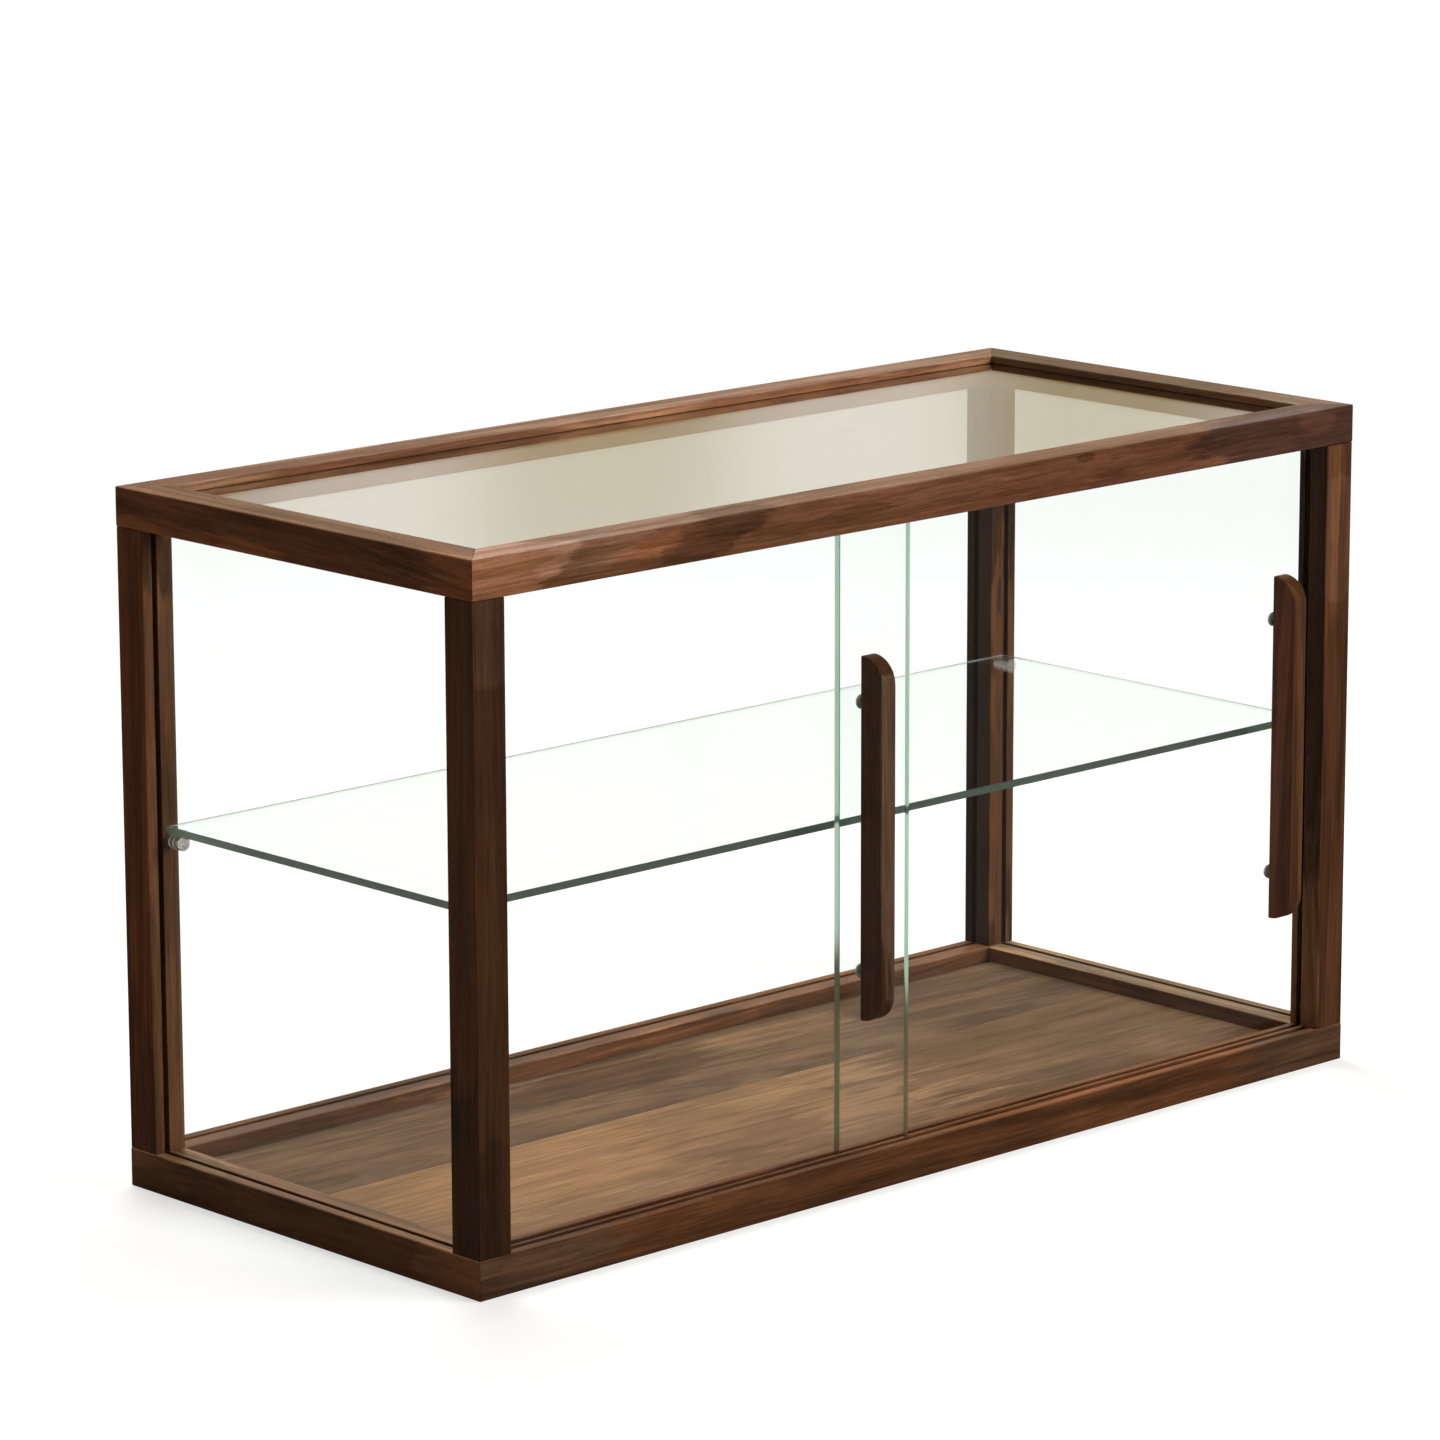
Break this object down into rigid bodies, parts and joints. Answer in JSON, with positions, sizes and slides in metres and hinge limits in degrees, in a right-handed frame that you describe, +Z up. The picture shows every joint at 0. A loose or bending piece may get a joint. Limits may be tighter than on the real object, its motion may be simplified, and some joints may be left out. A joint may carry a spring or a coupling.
{
  "type": "glass display cabinet",
  "caption": "Low wooden-framed glass display cabinet with a mitred top and base frame, sliding glass doors with upright wooden pulls, and a loose glass shelf on pegs.",
  "frame": {"origin": "centre of the bounding box's underside: on the ground, midway between the ends, and midway between the door handles' fronts and the back face", "axes": "+X to the right along the cabinet's width, +Y from the doors to the back, +Z up"},
  "size_m": [0.8, 0.3588, 0.464],
  "materials": {
    "walnut": "oiled walnut, satin",
    "floor_light": "light walnut sapwood board, satin",
    "floor_dark": "walnut heartwood board, satin",
    "beech": "plain beech",
    "clear_glass": "clear float glass, ground edges",
    "steel": "nickel-plated, satin",
    "nylon": "natural nylon"
  },
  "bodies": {
    "case": {"base_rail_front": "walnut", "base_rail_back": "walnut", "base_rail_left": "walnut", "base_rail_right": "walnut", "top_rail_front": "walnut", "top_rail_back": "walnut", "top_rail_left": "walnut", "top_rail_right": "walnut", "post_front_left": "walnut", "post_front_right": "walnut", "post_back_left": "walnut", "post_back_right": "walnut", "base_spline_front_left": "beech", "base_spline_front_right": "beech", "base_spline_back_left": "beech", "base_spline_back_right": "beech", "top_spline_front_left": "beech", "top_spline_front_right": "beech", "top_spline_back_left": "beech", "top_spline_back_right": "beech", "base_dowel_front_left": "beech", "base_dowel_front_right": "beech", "base_dowel_back_left": "beech", "base_dowel_back_right": "beech", "top_dowel_front_left": "beech", "top_dowel_front_right": "beech", "top_dowel_back_left": "beech", "top_dowel_back_right": "beech", "floor_board_front": "floor_light", "floor_board_back": "floor_dark", "side_glass_left": "clear_glass", "side_glass_right": "clear_glass", "back_glass": "clear_glass", "top_glass": "clear_glass", "shelf_glass": "clear_glass", "shelf_peg_front_left": "steel", "shelf_peg_front_right": "steel", "shelf_peg_back_left": "steel", "shelf_peg_back_right": "steel"},
    "left_door": {"left_door_glass": "clear_glass", "left_door_handle": "walnut", "left_door_bush_lower": "nylon", "left_door_bush_upper": "nylon", "left_door_screw_lower": "steel", "left_door_screw_upper": "steel"},
    "right_door": {"right_door_glass": "clear_glass", "right_door_handle": "walnut", "right_door_bush_lower": "nylon", "right_door_bush_upper": "nylon", "right_door_screw_lower": "steel", "right_door_screw_upper": "steel"}
  },
  "joints": [
    {"name": "left_door_slide", "type": "slide", "parent": "case", "child": "left_door", "axis": [1, 0, 0], "range_m": [0, 0.179]},
    {"name": "right_door_slide", "type": "slide", "parent": "case", "child": "right_door", "axis": [-1, 0, 0], "range_m": [0, 0.179]}
  ]
}
